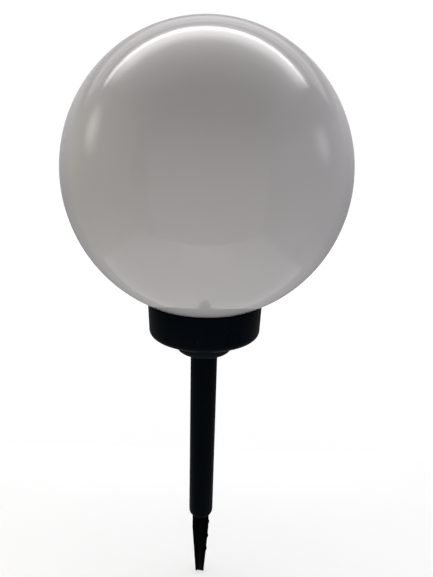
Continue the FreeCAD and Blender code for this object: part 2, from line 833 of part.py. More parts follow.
# ---- all pieces, one file each ------------------------------------------------------
PIECES = [
    globe, globe_seal, base_housing, plate_screws, plate_gasket, module_plate,
    panel_board, solar_cells, panel_cover, panel_leads, leds, led_grommets,
    circuit_board, board_components, board_screws, battery_tray, battery,
    battery_contact, battery_spring, switch_body, switch_plunger, switch_button,
    stake_socket, socket_screws, stake_tube, ground_spike,
]

os.makedirs("parts", exist_ok=True)
for piece in PIECES:
    shape = piece()
    if isinstance(shape, list):
        shape = Part.makeCompound(shape)
    shape.exportStep("parts/" + piece.__name__ + ".step")
    print(piece.__name__, len(shape.Solids), round(shape.Volume, 1), shape.isValid())
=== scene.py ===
import bmesh
import bpy
import math
from mathutils import Matrix, Vector


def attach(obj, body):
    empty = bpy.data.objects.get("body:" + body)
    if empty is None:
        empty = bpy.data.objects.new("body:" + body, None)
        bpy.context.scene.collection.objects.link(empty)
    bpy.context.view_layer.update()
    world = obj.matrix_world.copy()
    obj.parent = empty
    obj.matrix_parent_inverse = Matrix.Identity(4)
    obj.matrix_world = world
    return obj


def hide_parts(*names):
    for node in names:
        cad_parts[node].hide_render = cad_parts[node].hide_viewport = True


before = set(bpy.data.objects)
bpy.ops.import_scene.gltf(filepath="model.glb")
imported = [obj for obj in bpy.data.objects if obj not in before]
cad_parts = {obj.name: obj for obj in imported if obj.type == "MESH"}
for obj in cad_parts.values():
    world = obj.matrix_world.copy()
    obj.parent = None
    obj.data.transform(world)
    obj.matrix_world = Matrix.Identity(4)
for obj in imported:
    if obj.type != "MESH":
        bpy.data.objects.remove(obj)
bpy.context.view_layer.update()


# ---- Ground spike -------------------------------------------------------------------
# The moulded spike that holds the lamp in the soil: two crossed ribs, with barbs down one
# edge, and a round plug that presses up into the stake tube.  Black polypropylene, one
# shot; the ribs are joined, trimmed round and softened, and the plug's discs joined on.
mm = 0.001  # sizes are in millimetres up to the studio, and heights start at the tube's foot
same_place = 1e-6  # metres
cut_past = 1.0  # how far a cutter reaches past what it cuts
round_sides = 96
spike_half = 7.0
spike_tip_half = 3.6
spike_rib = 2.6
spike_plug = 22.0
spike_length = 63.0
spike_straight = 15.0
spike_notch = 1.2
spike_tip_rise = 3.2
spike_edge_round = 0.22
disc_thickness = 2.0
low_disc_foot = 1.0
barb_height = 0.7
barb_length = 2.4
barb_slope = 0.25
barb_drops = (9.0, 24.0, 38.0)
dust_grey = (0.09, 0.088, 0.082)
soil_brown = (0.030, 0.028, 0.025)
soil_edge = (-0.050, -0.020)  # metres


def new_piece(name, add, **sizes):
    """Add a primitive with nothing else selected, its place in its mesh."""
    bpy.ops.object.select_all(action="DESELECT")
    add(**sizes)
    bpy.ops.object.transform_apply()
    piece = bpy.context.object
    piece.name = name
    piece.data.name = name
    return piece


def take_up(piece, mode="EDIT"):
    """Make this the one selected piece, and go to edit mode unless told otherwise."""
    bpy.ops.object.select_all(action="DESELECT")
    piece.select_set(True)
    bpy.context.view_layer.objects.active = piece
    bpy.ops.object.mode_set(mode=mode)
    if mode == "EDIT":
        bpy.ops.mesh.select_all(action="SELECT")


def put_down():
    bpy.ops.object.mode_set(mode="OBJECT")


def pick(test, kind="VERT"):
    """Select the corners, edges or faces that pass the test, and nothing else."""
    bpy.ops.mesh.select_mode(type=kind)
    bpy.ops.mesh.select_all(action="DESELECT")
    mesh = bmesh.from_edit_mesh(bpy.context.object.data)
    for part in {"VERT": mesh.verts, "EDGE": mesh.edges, "FACE": mesh.faces}[kind]:
        if test(part):
            part.select_set(True)
    bmesh.update_edit_mesh(bpy.context.object.data)


def pull(x, y, z):
    """Extrude what is selected by a distance."""
    bpy.ops.mesh.extrude_region_move(
        TRANSFORM_OT_translate={"value": (x * mm, y * mm, z * mm)})


def shift(x, y, z):
    """Move what is selected by a distance."""
    bpy.ops.transform.translate(value=(x * mm, y * mm, z * mm))


def close_up(turn_out=True):
    """Merge doubled corners, and turn all faces outwards."""
    bpy.ops.mesh.select_all(action="SELECT")
    bpy.ops.mesh.remove_doubles(threshold=same_place)
    if turn_out:
        bpy.ops.mesh.normals_make_consistent(inside=False)


def apply_modifier(piece, kind, **settings):
    """Add a modifier with these settings, and apply it."""
    take_up(piece, "OBJECT")
    modifier = piece.modifiers.new(kind.lower(), kind)
    for key, value in settings.items():
        setattr(modifier, key, value)
    bpy.ops.object.modifier_apply(modifier=modifier.name)


def combine(piece, others, operation="UNION"):
    """Join other pieces on, cut them away or trim to them.  They are used up."""
    for other in others:
        apply_modifier(piece, "BOOLEAN", operation=operation, solver="EXACT", object=other)
        bpy.data.objects.remove(other)
    take_up(piece)
    close_up(turn_out=False)
    put_down()


def soften(piece, width, steps=2, sharper_than=35.0):
    """Round every edge that turns by more than an angle."""
    apply_modifier(piece, "BEVEL", width=width * mm, segments=steps, limit_method="ANGLE",
                   angle_limit=math.radians(sharper_than))


def smooth(piece, angle=35.0):
    """Shade a piece smooth, except at edges that turn by more than an angle."""
    take_up(piece, "OBJECT")
    bpy.ops.object.shade_smooth_by_angle(angle=math.radians(angle))


def rod(name, radius, low, high, x=0.0, y=0.0, sides=round_sides):
    """An upright round rod between two heights."""
    return new_piece(name, bpy.ops.mesh.primitive_cylinder_add, vertices=sides,
                     radius=radius * mm, depth=(high - low) * mm,
                     location=(x * mm, y * mm, 0.5 * (low + high) * mm))


def slab(name, inner, outer, width, low, high):
    """A box that stands across the X axis, between two places on it and two heights."""
    return new_piece(name, bpy.ops.mesh.primitive_cube_add, size=1.0,
                     location=(0.5 * (inner + outer) * mm, 0.0, 0.5 * (low + high) * mm),
                     scale=((outer - inner) * mm, width * mm, (high - low) * mm))


def turned(name, profile, sides=round_sides, x=0.0, y=0.0):
    """Draw a profile of (radius, height) from corner to corner, and spin it round its axis."""
    start_r, start_z = profile[0]
    piece = new_piece(name, bpy.ops.mesh.primitive_plane_add, size=mm,
                      location=((x + start_r) * mm, y * mm, start_z * mm))
    take_up(piece)
    bpy.ops.mesh.merge(type="CENTER")
    on_axis = profile[0][0] == 0.0 and profile[-1][0] == 0.0
    path = profile if on_axis else profile + profile[:1]
    for (r0, z0), (r1, z1) in zip(path, path[1:]):
        pull(r1 - r0, 0.0, z1 - z0)
    bpy.ops.mesh.select_all(action="SELECT")
    bpy.ops.mesh.spin(steps=sides, angle=2.0 * math.pi, center=(x * mm, y * mm, 0.0),
                      axis=(0.0, 0.0, 1.0))
    close_up()
    put_down()
    return piece


def ring_of(piece, count, start=0.0):
    """Copies of a piece, evenly round the lamp's axis from a start in degrees, each with its
    own mesh.  The piece is used up."""
    copies = []
    for k in range(count):
        copy = piece.copy()
        copy.data = piece.data.copy()
        bpy.context.scene.collection.objects.link(copy)
        copy.matrix_world = Matrix.Rotation(math.radians(start + 360.0 * k / count), 4, "Z")
        take_up(copy, "OBJECT")
        bpy.ops.object.transform_apply()
        copies.append(copy)
    bpy.data.objects.remove(piece)
    return copies


class Signal:
    """A value that varies over a surface.  Sums and products of signals add Math nodes."""

    def __init__(self, finish, socket):
        self.finish = finish
        self.socket = socket

    def maths(self, operation, first, second):
        return self.finish.node("Math", {"operation": operation}, {0: first, 1: second})

    def __add__(self, other):
        return self.maths("ADD", self, other)

    def __radd__(self, other):
        return self.maths("ADD", other, self)

    def __mul__(self, other):
        return self.maths("MULTIPLY", self, other)

    def __rmul__(self, other):
        return self.maths("MULTIPLY", other, self)


class Finish:
    """A procedural finish: its nodes, the place they read, and the shader they end in."""

    def __init__(self, name):
        self.material = bpy.data.materials.new(name)
        self.material.use_nodes = True
        self.tree = self.material.node_tree
        self.shader = self.tree.nodes["Principled BSDF"]
        self.place = self.node("TexCoord", {}, {}, "Object")

    def feed(self, socket, value):
        """Link a signal to a socket, or set the socket to a value.  Colours are opaque."""
        if isinstance(value, Signal):
            self.tree.links.new(value.socket, socket)
        elif socket.type == "RGBA":
            socket.default_value = (*value, 1.0)
        else:
            socket.default_value = value

    def node(self, kind, settings, sockets, output=0):
        """Add a node: its settings first, then the values or links of its sockets."""
        made = self.tree.nodes.new("ShaderNode" + kind)
        stops = settings.pop("stops", [])
        for key, value in settings.items():
            setattr(made, key, value)
        for k, (at, colour) in enumerate(stops):
            element = made.color_ramp.elements[k] if k < 2 else made.color_ramp.elements.new(at)
            element.position = at
            element.color = (*colour, 1.0)
        for key, value in sockets.items():
            self.feed(made.inputs[key], value)
        return Signal(self, made.outputs[output])

    def clouds(self, scale, detail=3.0, stretch=(1.0, 1.0, 1.0)):
        """Soft random lumps, so many a metre, that go from 0 to 1."""
        place = self.node("Mapping", {}, {"Vector": self.place, "Scale": stretch})
        return self.node("TexNoise", {}, {"Vector": place, "Scale": scale, "Detail": detail},
                         "Fac")

    def waves(self, direction, scale, distortion=0.0):
        """Bands across a direction, 314 mm apart divided by the scale, from 0 to 1."""
        return self.node("TexWave", {"bands_direction": direction},
                         {"Vector": self.place, "Scale": scale, "Distortion": distortion}, "Fac")

    def spread(self, signal, low, high, least=0.0, most=1.0):
        """The part of a signal between low and high, spread over least to most."""
        return self.node("MapRange", {}, {"Value": signal, "From Min": low, "From Max": high,
                                          "To Min": least, "To Max": most}, "Result")

    def blend(self, share, first, second):
        """Mix two colours."""
        return self.node("Mix", {"data_type": "RGBA"}, {0: share, 6: first, 7: second}, 2)

    def along(self, axis):
        """Distance along X, Y or Z, in metres."""
        return self.node("SeparateXYZ", {}, {"Vector": self.place}, axis)

    def relief(self, height, depth):
        """Bump from a height that goes from 0 to 1 and stands this many millimetres."""
        return self.node("Bump", {}, {"Height": height, "Distance": depth * mm}, "Normal")

    def end_in(self, **sockets):
        """Set or link the shader's sockets, named with underscores for spaces."""
        for key, value in sockets.items():
            self.feed(self.shader.inputs[key.replace("_", " ")], value)


def moulded(name, dark, pale, roughness, shine, grain, depth, flow=(1.0, 1.0, 1.0)):
    """Moulded plastic or rubber: clouded tone, flow lines, fine grain and a little dust."""
    finish = Finish(name)
    tone = finish.clouds(22.0, detail=4.0)
    streaks = finish.clouds(140.0, stretch=flow)
    dust = finish.spread(finish.clouds(650.0, detail=2.0), 0.69, 0.76)
    grains = finish.clouds(grain, detail=2.0)
    paler = finish.spread(tone * 0.6 + streaks * 0.4, 0.35, 0.65)
    duller = finish.spread(streaks * 0.55 + tone * 0.45, 0.38, 0.62, *roughness)
    finish.colour = finish.blend(dust * 0.12, finish.blend(paler, dark, pale), dust_grey)
    finish.end_in(Base_Color=finish.colour, Roughness=duller + dust * 0.2,
                  Normal=finish.relief(grains * 0.7 + streaks * 0.3, depth),
                  Specular_IOR_Level=shine)
    return finish


def coat(piece, finish):
    """Give a piece or a node this finish in place of what it has."""
    piece.data.materials.clear()
    piece.data.materials.append(finish.material)


def dress(piece, finish, body, node):
    """Coat a new piece, say its body, and hide the node that it replaces."""
    coat(piece, finish)
    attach(piece, body)
    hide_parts(node)


def spike_half_at(drop, length):
    """Half a rib's width, this far below the tube."""
    taper = max(0.0, drop - spike_straight) / (length - spike_straight)
    return spike_half - (spike_half - spike_tip_half) * taper


def spike_plate(name, length, drops):
    """A flat rib with its barbs, drawn down step by step from the plug to the notched tip."""
    plate = slab(name, -spike_half, spike_half, spike_rib, 0.0, spike_plug)
    steps = [(spike_straight, 0.0), (length, 0.0)]
    for drop in drops:
        steps += [(drop, 0.0), (drop + barb_slope * barb_length, barb_height),
                  (drop + barb_length, 0.0)]
    take_up(plate)
    pick(lambda face: face.normal.z < -0.9, "FACE")
    last_drop = 0.0
    left = right = spike_half
    for drop, stand in sorted(steps):  # a barb stands out on the right side only
        pull(0.0, 0.0, last_drop - drop)
        half = spike_half_at(drop, length)
        grow = (2.0 * half + stand) / (left + right)
        bpy.ops.transform.resize(value=(grow, 1.0, 1.0), center_override=(0.0, 0.0, 0.0))
        shift(half + stand - right * grow, 0.0, 0.0)
        last_drop = drop
        left = half
        right = half + stand
    for share in (-0.5, 0.0, 0.5):
        cut_x = share * spike_tip_half * mm
        bpy.ops.mesh.select_all(action="SELECT")
        bpy.ops.mesh.bisect(plane_co=(cut_x, 0.0, 0.0), plane_no=(1.0, 0.0, 0.0))
        pick(lambda corner: corner.co.z < same_place - length * mm
             and abs(corner.co.x - cut_x) < same_place)
        shift(0.0, 0.0, spike_notch * (1.0 - share ** 2))
    close_up()
    put_down()
    return plate


spike = spike_plate("spike", spike_length, barb_drops)
cross_rib = spike_plate("cross_rib", spike_length - spike_tip_rise, ())
combine(spike, ring_of(cross_rib, 1, 90.0))
trim_foot = -spike_length - cut_past
trim_head = spike_plug + cut_past
trim_out = spike_half + barb_height
trim = turned("trim", [(0.0, trim_foot), (trim_out, trim_foot), (trim_out, 0.0),
                       (spike_half, 0.0), (spike_half, trim_head), (0.0, trim_head)])
combine(spike, [trim], "INTERSECT")
soften(spike, spike_edge_round)
combine(spike, [
    rod("top_disc", spike_half, spike_plug - disc_thickness, spike_plug),
    rod("low_disc", spike_half, low_disc_foot, low_disc_foot + disc_thickness),
])
smooth(spike)

spike_finish = moulded("spike_plastic", dark=(0.0001, 0.0003, 0.0003),
                       pale=(0.0004, 0.0007, 0.0008), roughness=(0.42, 0.58), shine=0.008,
                       grain=2600.0, depth=0.02, flow=(1.0, 1.0, 0.12))
soil = spike_finish.spread(spike_finish.along("Z") + spike_finish.clouds(160.0) * 0.03,
                           *soil_edge, 1.0, 0.0)
scuffs = spike_finish.spread(spike_finish.clouds(900.0, stretch=(1.0, 1.0, 0.25)), 0.52, 0.66)
spike_finish.end_in(Base_Color=spike_finish.blend(scuffs * soil * 0.35, spike_finish.colour,
                                                  soil_brown))
dress(spike, spike_finish, "spike", "ground_spike")


# ---- Stake tube ---------------------------------------------------------------------
# The long moulded tube between the spike and the lamp, a little slimmer at its foot, with a
# rounded lower end and a web that stops the spike's plug.  Black polypropylene; the parting
# line of its mould runs down both sides, and the foot and the bore are drawn in one profile.
tube_top_radius = 10.45
tube_foot_radius = 10.0
tube_wall = 1.7
tube_foot_round = 4.25
tube_web = 1.8
tube_edge = 0.8
tube_exposed = 152.3
tube_sides = 128
socket_bore_depth = 15.0
slide_fit = 0.08
seat_gap = 0.25
parting_rise = 0.06
tube_top = tube_exposed + socket_bore_depth
spike_bore = spike_half + slide_fit
foot_centre = tube_foot_radius - tube_foot_round
mouth_angle = -math.degrees(math.acos((spike_bore - foot_centre) / tube_foot_round))
web_foot = spike_plug + seat_gap
web_hole = 0.4 * (tube_foot_radius - tube_wall)


def bend(centre_r, centre_z, radius, start, end, steps):
    """Corners of a rounded bend in a profile, between two angles in degrees."""
    corners = []
    for k in range(steps + 1):
        angle = math.radians(start + (end - start) * k / steps)
        corners.append((centre_r + radius * math.cos(angle),
                        centre_z + radius * math.sin(angle)))
    return corners


tube_profile = bend(foot_centre, tube_foot_round, tube_foot_round, mouth_angle, 0.0, steps=10)
tube_profile += [(tube_foot_radius + (tube_top_radius - tube_foot_radius) * share,
                  tube_foot_round + (tube_exposed - tube_foot_round) * share)
                 for share in (0.25, 0.5, 0.75, 1.0)]
tube_profile += bend(tube_top_radius - tube_edge, tube_top - tube_edge, tube_edge,
                     0.0, 90.0, steps=5)
tube_profile += [
    (tube_top_radius - tube_wall, tube_top),
    (tube_foot_radius - tube_wall, web_foot + tube_web),
    (web_hole, web_foot + tube_web),
    (web_hole, web_foot),
    (spike_bore, web_foot),
]
tube = turned("tube", tube_profile, tube_sides)
take_up(tube)
for side in (-1.0, 1.0):
    pick(lambda corner: side * corner.co.x > 0.99 * tube_foot_radius * mm
         and abs(corner.co.y) < same_place)
    shift(side * parting_rise, 0.0, 0.0)
put_down()
smooth(tube)
tube_finish = moulded("tube_plastic", dark=(0.0003, 0.0014, 0.0023),
                      pale=(0.0009, 0.0025, 0.0037), roughness=(0.36, 0.50), shine=0.012,
                      grain=2400.0, depth=0.012, flow=(1.0, 1.0, 0.06))
dress(tube, tube_finish, "tube", "stake_tube")


# ---- Stake socket -------------------------------------------------------------------
# The bowl-shaped boss under the base, with a blind bore that takes the tube.  Greyer,
# spark-textured plastic; inside, six webs and three screw bosses stiffen it, and three
# screws from inside the base hold it.
socket_drop = 14.3
socket_top_radius = 22.9
socket_low_radius = 22.0
socket_low_round = 5.9
socket_boss_wall = 1.6
socket_skin = 2.2
socket_web_width = 1.6
socket_web_count = 6
socket_web_start = 30.0
socket_web_inset = 0.4
socket_sink = 0.3
socket_screw_circle = 17.6
socket_screw_angles = (90.0, 210.0, 330.0)
socket_screw_radius = 1.4
socket_screw_boss = 3.0
socket_screw_length = 8.0
screw_sides = 32
bore_lead = 0.6
inner_gap = 0.6
base_floor = 2.2
floor_under = tube_exposed + socket_drop
floor_top = floor_under + base_floor
socket_bore = tube_top_radius + slide_fit
boss_radius = socket_bore + socket_boss_wall
bore_top = tube_top + seat_gap
cup_floor = tube_exposed + socket_skin
cup_radius = socket_low_radius - socket_skin
low_centre = socket_low_radius - socket_low_round
screw_foot = floor_top - socket_screw_length - seat_gap


def round_places(radius, angles):
    """Places on a circle round the axis, at angles in degrees."""
    return [(radius * math.cos(math.radians(angle)), radius * math.sin(math.radians(angle)))
            for angle in angles]


def rods(name, radius, low, high, places):
    """A screw-sized rod at each place."""
    return [rod(name, radius, low, high, x, y, screw_sides) for x, y in places]


socket_profile = [(socket_bore, tube_exposed + bore_lead),
                  (socket_bore + bore_lead, tube_exposed)]
socket_profile += bend(low_centre, tube_exposed + socket_low_round, socket_low_round,
                       -90.0, 0.0, steps=12)
socket_profile += [
    (socket_top_radius, floor_under),
    (socket_top_radius - socket_skin, floor_under),
    (cup_radius, tube_exposed + socket_low_round),
    (cup_radius - 0.5 * socket_low_round, cup_floor),
    (boss_radius, cup_floor),
    (boss_radius, bore_top + socket_boss_wall),
    (0.0, bore_top + socket_boss_wall),
    (0.0, bore_top),
    (socket_bore, bore_top),
]
socket = turned("socket", socket_profile, tube_sides)
web = slab("web", boss_radius - socket_web_inset, cup_radius - socket_web_inset,
           socket_web_width, cup_floor - socket_sink, floor_under - inner_gap)
webs = ring_of(web, socket_web_count, socket_web_start)
socket_screw_places = round_places(socket_screw_circle, socket_screw_angles)
combine(socket, webs + rods("boss", socket_screw_boss, cup_floor - socket_sink, floor_under,
                            socket_screw_places))
combine(socket, rods("hole", socket_screw_radius, screw_foot, floor_under + cut_past,
                     socket_screw_places), "DIFFERENCE")
smooth(socket)
socket_finish = moulded("socket_plastic", dark=(0.0020, 0.0042, 0.0064),
                        pale=(0.0040, 0.0068, 0.0094), roughness=(0.50, 0.64), shine=0.024,
                        grain=3200.0, depth=0.03)
dress(socket, socket_finish, "base", "stake_socket")


# ---- Base housing -------------------------------------------------------------------
# The black cup that the globe screws into: a drafted wall with a rounded foot, a ledge for
# the module plate, buttresses, screw pillars and three coarse thread ribs inside the rim.
# Smooth injection-moulded ABS; the ribs and pillars are joined on, and the holes are cut.
base_height = 26.5
base_wall = 2.15
base_draft = 0.8
base_foot_round = 4.75
base_lip = 0.5
base_sides = 160
ledge_width = 1.4
buttress_count = 12
buttress_width = 1.6
buttress_depth = 1.2
neck_radius = 38.8
neck_length = 9.5
moving_gap = 0.4
rib_starts = 3
rib_height = 1.8
rib_root = 1.9
rib_crest = 1.1
rib_bite = 0.8
rib_lead = 18.0
rib_steps = 24
base_rib_span = 50.0
seal_thickness = 1.6
flange_thickness = 2.0
gasket_thickness = 1.0
pillar_radius = 2.8
pillar_sink = 0.5
pillar_joint = 9.0
pillar_circle = 30.8
pillar_angles = (45.0, 135.0, 250.0, 290.0)
plate_screw_radius = 1.3
plate_screw_head = 2.7
plate_screw_head_height = 1.6
button_radius = 3.2
button_flange = 1.0
button_hole_sides = 48
switch_angle = 108.0
base_rim = floor_under + base_height
bore_radius = neck_radius + rib_height + moving_gap
rim_radius = bore_radius + base_wall
foot_radius = rim_radius - base_draft
inner_round = base_foot_round - base_floor
neck_foot = base_rim - neck_length
flange_top = neck_foot - seat_gap - seal_thickness
ledge = flange_top - flange_thickness - gasket_thickness
cavity_radius = bore_radius - ledge_width
switch_circle = socket_top_radius + inner_gap + button_flange + button_radius
rib_foot = neck_foot + 0.5 * rib_root + seat_gap
hole_foot = floor_under - cut_past
hole_head = floor_top + cut_past


def screw_ribs(name, root, crest, span, foot):
    """One start's thread rib, a trapezium carried round and up by a Screw modifier with its
    ends closed, copied for every start."""
    out = 1.0 if crest > root else -1.0
    deep = root - out * rib_bite
    broad = rib_root + (rib_root - rib_crest) * rib_bite / rib_height
    centre = (0.5 * (deep + crest) * mm, 0.0, foot * mm)
    rib = new_piece(name, bpy.ops.mesh.primitive_plane_add, size=1.0, location=centre,
                    rotation=(0.5 * math.pi, 0.0, 0.0))
    take_up(rib)
    bpy.ops.transform.resize(value=(abs(crest - deep) * mm, 1.0, broad * mm),
                             center_override=centre)
    pick(lambda corner: abs(corner.co.x - crest * mm) < same_place)
    bpy.ops.transform.resize(value=(1.0, 1.0, rib_crest / broad),
                             center_override=(crest * mm, 0.0, foot * mm))
    bpy.ops.mesh.select_all(action="SELECT")
    bpy.ops.mesh.delete(type="ONLY_FACE")
    put_down()
    apply_modifier(rib, "SCREW", axis="Z", angle=math.radians(span), steps=rib_steps,
                   render_steps=rib_steps, screw_offset=rib_lead * span / 360.0 * mm)
    take_up(rib)
    bpy.ops.mesh.fill_holes(sides=4)
    close_up()
    put_down()
    return ring_of(rib, rib_starts)


housing_profile = [(0.0, floor_under)]
housing_profile += bend(foot_radius - base_foot_round, floor_under + base_foot_round,
                        base_foot_round, -90.0, 0.0, steps=16)
housing_profile += bend(rim_radius - base_lip, base_rim - base_lip, base_lip,
                        0.0, 90.0, steps=4)
housing_profile += bend(bore_radius + base_lip, base_rim - base_lip, base_lip,
                        90.0, 180.0, steps=4)
housing_profile += [(bore_radius, ledge), (cavity_radius, ledge)]
housing_profile += bend(cavity_radius - inner_round, floor_top + inner_round, inner_round,
                        0.0, -90.0, steps=8)
housing_profile += [(0.0, floor_top)]
housing = turned("housing", housing_profile, base_sides)

buttress = slab("buttress", cavity_radius - buttress_depth, cavity_radius + 0.5 * base_wall,
                buttress_width, floor_top + base_foot_round, ledge)
buttresses = ring_of(buttress, buttress_count)
pillar_places = round_places(pillar_circle, pillar_angles)
pillars = rods("pillar", pillar_radius, floor_top - pillar_sink, floor_top + pillar_joint,
               pillar_places)
base_ribs = screw_ribs("base_rib", bore_radius, bore_radius - rib_height, base_rib_span,
                       rib_foot + rib_root + seat_gap)
combine(housing, buttresses + pillars + base_ribs)

button_x, button_y = round_places(switch_circle, [switch_angle])[0]
holes = [rod("boss_hole", boss_radius + seat_gap, hole_foot, hole_head),
         rod("button_hole", button_radius + moving_gap, hole_foot, hole_head,
             button_x, button_y, button_hole_sides)]
for pillar_place in pillar_places:
    holes += rods("screw_hole", plate_screw_radius + slide_fit, hole_foot,
                  hole_head + pillar_joint, [pillar_place])
    holes += rods("screw_well", plate_screw_head + seat_gap, hole_foot,
                  floor_under + plate_screw_head_height + seat_gap, [pillar_place])
holes += rods("socket_hole", socket_screw_radius + slide_fit, hole_foot, hole_head,
              socket_screw_places)
combine(housing, holes, "DIFFERENCE")
smooth(housing)
housing_finish = moulded("housing_plastic", dark=(0.0002, 0.0014, 0.0031),
                         pale=(0.0006, 0.0023, 0.0044), roughness=(0.30, 0.42), shine=0.022,
                         grain=2000.0, depth=0.008, flow=(1.0, 1.0, 0.5))
dress(housing, housing_finish, "base", "base_housing")


# ---- Screws -------------------------------------------------------------------------
# Cross-headed screws of zinc-plated steel: three hold the socket, four hold the module
# plate from below, and three hold the circuit board.  Turned heads, rolled threads.
zinc_bright = (0.62, 0.63, 0.66)
zinc_tarnished = (0.45, 0.42, 0.36)


def dress_nodes(finish, *names):
    """Give CAD nodes whose shape stays this finish."""
    for name in names:
        coat(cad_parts[name], finish)


zinc = Finish("screw_steel")
turning = zinc.clouds(2600.0, detail=2.0, stretch=(1.0, 1.0, 0.2))
tarnish = zinc.spread(zinc.clouds(420.0, detail=4.0), 0.42, 0.66)
thread = zinc.waves("Z", 330.0)
zinc.end_in(Base_Color=zinc.blend(tarnish, zinc_bright, zinc_tarnished), Metallic=1.0,
            Roughness=0.24 + tarnish * 0.2 + turning * 0.1,
            Normal=zinc.relief(turning * 0.25 + thread * 0.75, depth=0.03))
dress_nodes(zinc, "socket_screws", "plate_screws", "board_screws")


# ---- Push switch --------------------------------------------------------------------
# The on-off switch: a rubber button that stands a millimetre out of the base's floor and
# presses the plunger of a small square switch on the circuit board.  The button is turned,
# with a dished face and a flange that keeps it in; the switch is black nylon.
button_stem = 2.2
button_stem_lead = 0.3
button_flange_height = 1.0
button_flange_round = 0.2
button_stand_out = 1.0
button_edge = 0.5
button_dish = ((0.0, 0.35), (0.45, 0.28), (0.72, 0.10))  # shares of the radius, and depths
button_travel = 1.2
button_sides = 64
switch_height = 7.0
crown_rise = 8.8
pocket_depth = 2.2
pocket_wall = 1.5
board_standoff = 3.1
board_thickness = 1.2
pocket_under = flange_top + crown_rise - pocket_depth - pocket_wall
board_under = pocket_under - board_standoff - board_thickness
button_top = board_under - switch_height - button_travel - 2.0 * seat_gap
button_face = floor_under - button_stand_out
flange_foot = floor_top + seat_gap
flange_head = flange_foot + button_flange_height
flange_radius = button_radius + button_flange

button_profile = [(share * button_radius, button_face + depth) for share, depth in button_dish]
button_profile += bend(button_radius - button_edge, button_face + button_edge, button_edge,
                       -90.0, 0.0, steps=6)
button_profile += [(button_radius, flange_foot), (flange_radius, flange_foot)]
button_profile += bend(flange_radius - button_flange_round, flange_head - button_flange_round,
                       button_flange_round, 0.0, 90.0, steps=3)
button_profile += [
    (button_stem, flange_head),
    (button_stem, button_top - button_stem_lead),
    (button_stem - button_stem_lead, button_top),
    (0.0, button_top),
]
button = turned("button", button_profile, button_sides, button_x, button_y)
smooth(button)
button_rubber = moulded("button_rubber", dark=(0.008, 0.008, 0.009), pale=(0.014, 0.014, 0.015),
                        roughness=(0.60, 0.74), shine=0.4, grain=3000.0, depth=0.02)
dress(button, button_rubber, "button", "switch_button")
switch_nylon = moulded("switch_nylon", dark=(0.010, 0.010, 0.011), pale=(0.020, 0.020, 0.021),
                       roughness=(0.34, 0.48), shine=0.5, grain=2600.0, depth=0.01)
dress_nodes(switch_nylon, "switch_body", "switch_plunger")


# ---- Circuit board ------------------------------------------------------------------
# The round board under the module plate: green solder mask over glass laminate, with the
# copper tracks showing through as paler bands, and the drum coil, driver chip, capacitor
# and resistors soldered to its underside.
mask_dark = (0.008, 0.070, 0.026)
mask_pale = (0.012, 0.095, 0.036)
mask_on_copper = (0.055, 0.20, 0.075)
component_dark = (0.016, 0.016, 0.017)
component_pale = (0.060, 0.058, 0.055)
tin_dull = (0.52, 0.52, 0.54)
tin_bright = (0.74, 0.73, 0.71)

laminate = Finish("board_laminate")
track_place = laminate.node("Mapping", {}, {"Vector": laminate.place, "Scale": (1.0, 1.0, 0.0)})
track_cells = laminate.node(
    "TexVoronoi", {"distance": "MANHATTAN", "feature": "DISTANCE_TO_EDGE"},
    {"Vector": track_place, "Scale": 150.0, "Randomness": 0.8}, "Distance")
tracks = laminate.spread(track_cells, 0.05, 0.08, 1.0, 0.0)
weave = laminate.waves("DIAGONAL", 420.0, 1.5)
mask_tone = laminate.clouds(60.0)
mask_green = laminate.blend(laminate.spread(mask_tone, 0.35, 0.65), mask_dark, mask_pale)
laminate.end_in(Base_Color=laminate.blend(tracks * 0.7, mask_green, mask_on_copper),
                Roughness=0.26 + mask_tone * 0.12,
                Normal=laminate.relief(tracks * 0.8 + weave * 0.2, depth=0.035))
dress_nodes(laminate, "circuit_board", "panel_board")

component = Finish("component_plastic")
speckle = component.spread(component.clouds(1500.0, detail=2.0), 0.45, 0.62)
body_tone = component.clouds(70.0)
component.end_in(Base_Color=component.blend(speckle * 0.5 + body_tone * 0.3, component_dark,
                                            component_pale),
                 Roughness=0.42 + speckle * 0.2, Normal=component.relief(speckle, depth=0.02))
dress_nodes(component, "board_components")

tin = Finish("tinned_wire")
tin_ripple = tin.clouds(1800.0, stretch=(1.0, 1.0, 0.3))
tin.end_in(Base_Color=tin.blend(tin_ripple, tin_dull, tin_bright), Metallic=1.0,
           Roughness=0.28 + tin_ripple * 0.2, Normal=tin.relief(tin_ripple, depth=0.02))
dress_nodes(tin, "panel_leads")


# ---- Battery ------------------------------------------------------------------------
# One rechargeable cell in an open tray staked to the board: a pressed nickel-plated blade
# at its nub, and a blade with a bowed leaf at its flat end.  The cell has a plain shrunk
# wrap, dark with a pale band at the nub, and the tray is black ABS.
wrap_green = (0.020, 0.085, 0.060)
band_grey = (0.42, 0.43, 0.41)
cap_steel = (0.64, 0.63, 0.60)
band_edge = (0.0150, 0.0152)  # metres, as is the next
cap_edge = (0.0222, 0.0223)
nickel_bright = (0.66, 0.62, 0.55)
nickel_spotted = (0.38, 0.33, 0.27)

wrap = Finish("cell_wrap")
band = wrap.spread(wrap.along("X"), *band_edge)
cap = wrap.spread(wrap.along("X"), *cap_edge)
shrink = wrap.clouds(320.0, stretch=(0.3, 1.0, 1.0))
wrap.end_in(Base_Color=wrap.blend(cap, wrap.blend(band, wrap_green, band_grey), cap_steel),
            Metallic=cap, Roughness=0.24 + shrink * 0.14,
            Normal=wrap.relief(shrink, depth=0.04))
dress_nodes(wrap, "battery")

